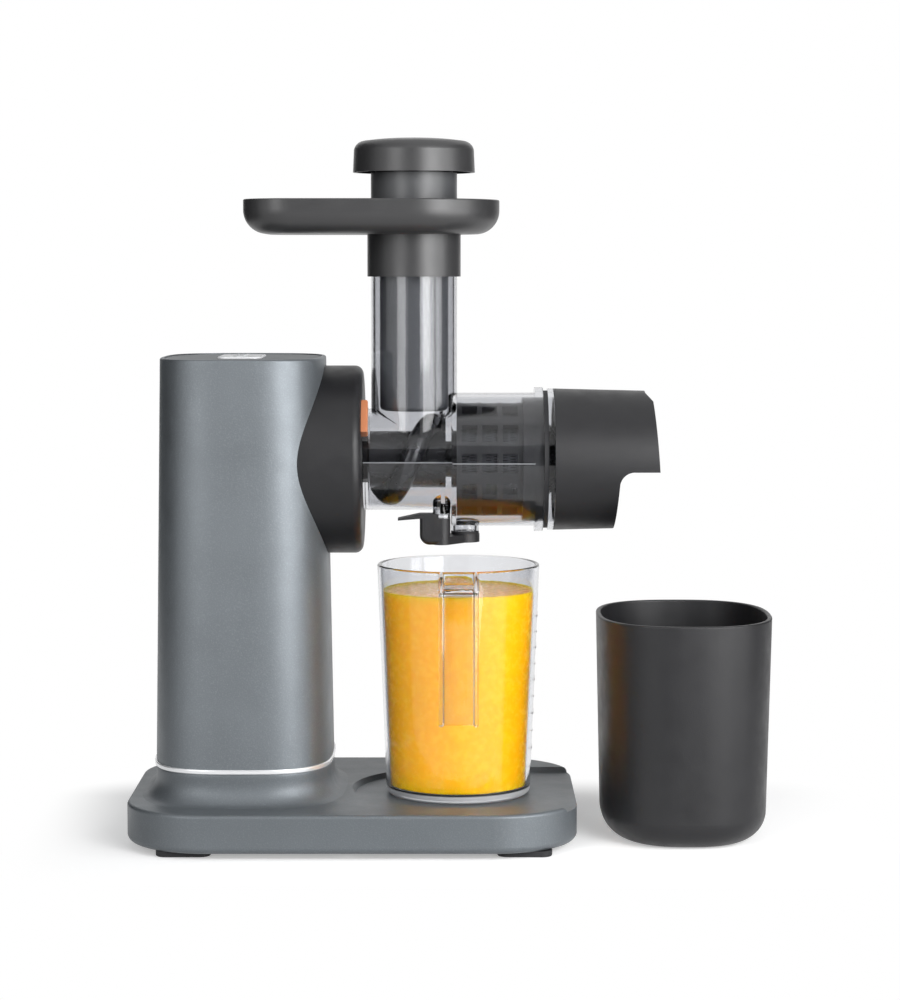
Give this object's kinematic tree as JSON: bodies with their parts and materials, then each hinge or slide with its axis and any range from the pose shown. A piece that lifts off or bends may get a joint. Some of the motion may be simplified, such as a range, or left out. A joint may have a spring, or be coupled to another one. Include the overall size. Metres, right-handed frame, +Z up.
{
  "type": "cold press juicer",
  "caption": "Horizontal cold press juicer: motor tower on a flat base, clear juicing chamber with chute, tray and pusher, drip stop, jug and pulp container.",
  "frame": {"origin": "centre of the whole set's footprint, on the counter", "axes": "+X from the motor tower to the pulp container, -Y towards the user, +Z up"},
  "size_m": [0.3834, 0.186, 0.4165],
  "materials": {
    "painted_shell": "satin metallic",
    "base_paint": "satin metallic",
    "charcoal_plastic": "matte",
    "gloss_charcoal": "gloss",
    "white_trim": "gloss",
    "clear_plastic": "clear",
    "strainer_plastic": "smoked",
    "screen_steel": "satin",
    "orange_plastic": "satin",
    "silicone": "matte",
    "machine_steel": "satin",
    "gear_nylon": "matte",
    "bronze": "satin",
    "copper_wire": "gloss",
    "circuit_board": "satin",
    "white_button": "satin",
    "auger_resin": "satin"
  },
  "bodies": {
    "base_unit": {"base_shell": "base_paint", "base_plate": "charcoal_plastic", "base_screws": "machine_steel", "feet": "silicone", "trim_ring": "white_trim", "tower_shell": "painted_shell", "tower_screws": "machine_steel", "tower_lid": "painted_shell", "control_panel": "white_trim", "control_board": "circuit_board", "tact_switches": "charcoal_plastic", "power_inlet": "charcoal_plastic", "motor_capacitor": "white_trim", "drive_housing": "charcoal_plastic", "latch_spring": "machine_steel", "interlock_switch": "charcoal_plastic", "gearbox_case": "charcoal_plastic", "gearbox_cover": "charcoal_plastic", "gearbox_screws": "machine_steel", "shaft_bushes": "bronze", "motor_can": "machine_steel", "motor_stator": "machine_steel", "motor_windings": "copper_wire", "motor_end_bell": "machine_steel", "motor_bushes": "bronze"},
    "auger_train": {"output_gear": "gear_nylon", "output_shaft": "machine_steel", "auger": "auger_resin"},
    "layshaft_set": {"layshaft": "machine_steel", "layshaft_gear": "gear_nylon", "layshaft_pinion": "machine_steel"},
    "motor_rotor": {"motor_shaft": "machine_steel", "rotor_core": "machine_steel", "motor_pinion": "machine_steel", "cooling_fan": "charcoal_plastic"},
    "chamber": {"juicing_chamber": "clear_plastic", "shaft_seal": "silicone", "cap_seal": "silicone", "strainer_cage": "strainer_plastic", "strainer_screen": "screen_steel"},
    "pulp_cap": {"end_cap": "charcoal_plastic", "cap_bush": "bronze"},
    "tray": {"feed_tray": "gloss_charcoal"},
    "pusher": {"pusher_body": "gloss_charcoal", "pusher_cap": "gloss_charcoal"},
    "drip_stop": {"drip_lever": "charcoal_plastic", "drip_pad": "silicone"},
    "latch": {"latch_button": "orange_plastic"},
    "power_key": {"power_button": "white_button"},
    "start_key": {"start_button": "white_button"},
    "reverse_key": {"reverse_button": "white_button"},
    "jug": {"juice_jug": "clear_plastic"},
    "bin": {"pulp_container": "charcoal_plastic"}
  },
  "joints": [
    {"name": "auger_spin", "type": "hinge", "parent": "base_unit", "child": "auger_train", "pos_m": [0, 0, 0.225], "axis": [1, 0, 0], "continuous": true},
    {"name": "layshaft_spin", "type": "hinge", "parent": "base_unit", "child": "layshaft_set", "pos_m": [-0.1, 0, 0.18125], "axis": [1, 0, 0], "continuous": true},
    {"name": "motor_spin", "type": "hinge", "parent": "base_unit", "child": "motor_rotor", "pos_m": [-0.13, 0, 0.13925], "axis": [1, 0, 0], "continuous": true},
    {"name": "chamber_twist", "type": "hinge", "parent": "base_unit", "child": "chamber", "pos_m": [-0.05, 0, 0.225], "axis": [1, 0, 0], "range_deg": [0, 30]},
    {"name": "end_cap_twist", "type": "hinge", "parent": "chamber", "child": "pulp_cap", "pos_m": [0.07, 0, 0.225], "axis": [1, 0, 0], "range_deg": [0, 28]},
    {"name": "tray_lift", "type": "slide", "parent": "chamber", "child": "tray", "axis": [0, 0, 1], "range_m": [0, 0.022]},
    {"name": "pusher_slide", "type": "slide", "parent": "tray", "child": "pusher", "axis": [0, 0, 1], "range_m": [0, 0.105]},
    {"name": "drip_stop_swing", "type": "hinge", "parent": "chamber", "child": "drip_stop", "pos_m": [-0.006, -0.018, 0.185], "axis": [0, 0, 1], "range_deg": [0, 60]},
    {"name": "latch_press", "type": "slide", "parent": "base_unit", "child": "latch", "axis": [-1, 0, 0], "range_m": [0, 0.003], "stiffness_N_per_m": 500, "springref_m": -0.001, "deforming": ["latch_spring"]},
    {"name": "power_press", "type": "slide", "parent": "base_unit", "child": "power_key", "axis": [0, 0, -1], "range_m": [0, 0.0006], "stiffness_N_per_m": 800, "springref_m": -0.0002},
    {"name": "start_press", "type": "slide", "parent": "base_unit", "child": "start_key", "axis": [0, 0, -1], "range_m": [0, 0.0006], "stiffness_N_per_m": 800, "springref_m": -0.0002},
    {"name": "reverse_press", "type": "slide", "parent": "base_unit", "child": "reverse_key", "axis": [0, 0, -1], "range_m": [0, 0.0006], "stiffness_N_per_m": 800, "springref_m": -0.0002},
    {"name": "jug_slide", "type": "slide", "parent": "base_unit", "child": "jug", "axis": [0, -0.9891, 0.1471], "range_m": [0, 0.06]},
    {"name": "container_slide", "type": "slide", "parent": "base_unit", "child": "bin", "axis": [1, 0, 0], "range_m": [0, 0.08]}
  ],
  "couplings": [
    {"joint": "layshaft_spin", "follows": "auger_spin", "ratio": -4},
    {"joint": "motor_spin", "follows": "auger_spin", "ratio": 20}
  ]
}
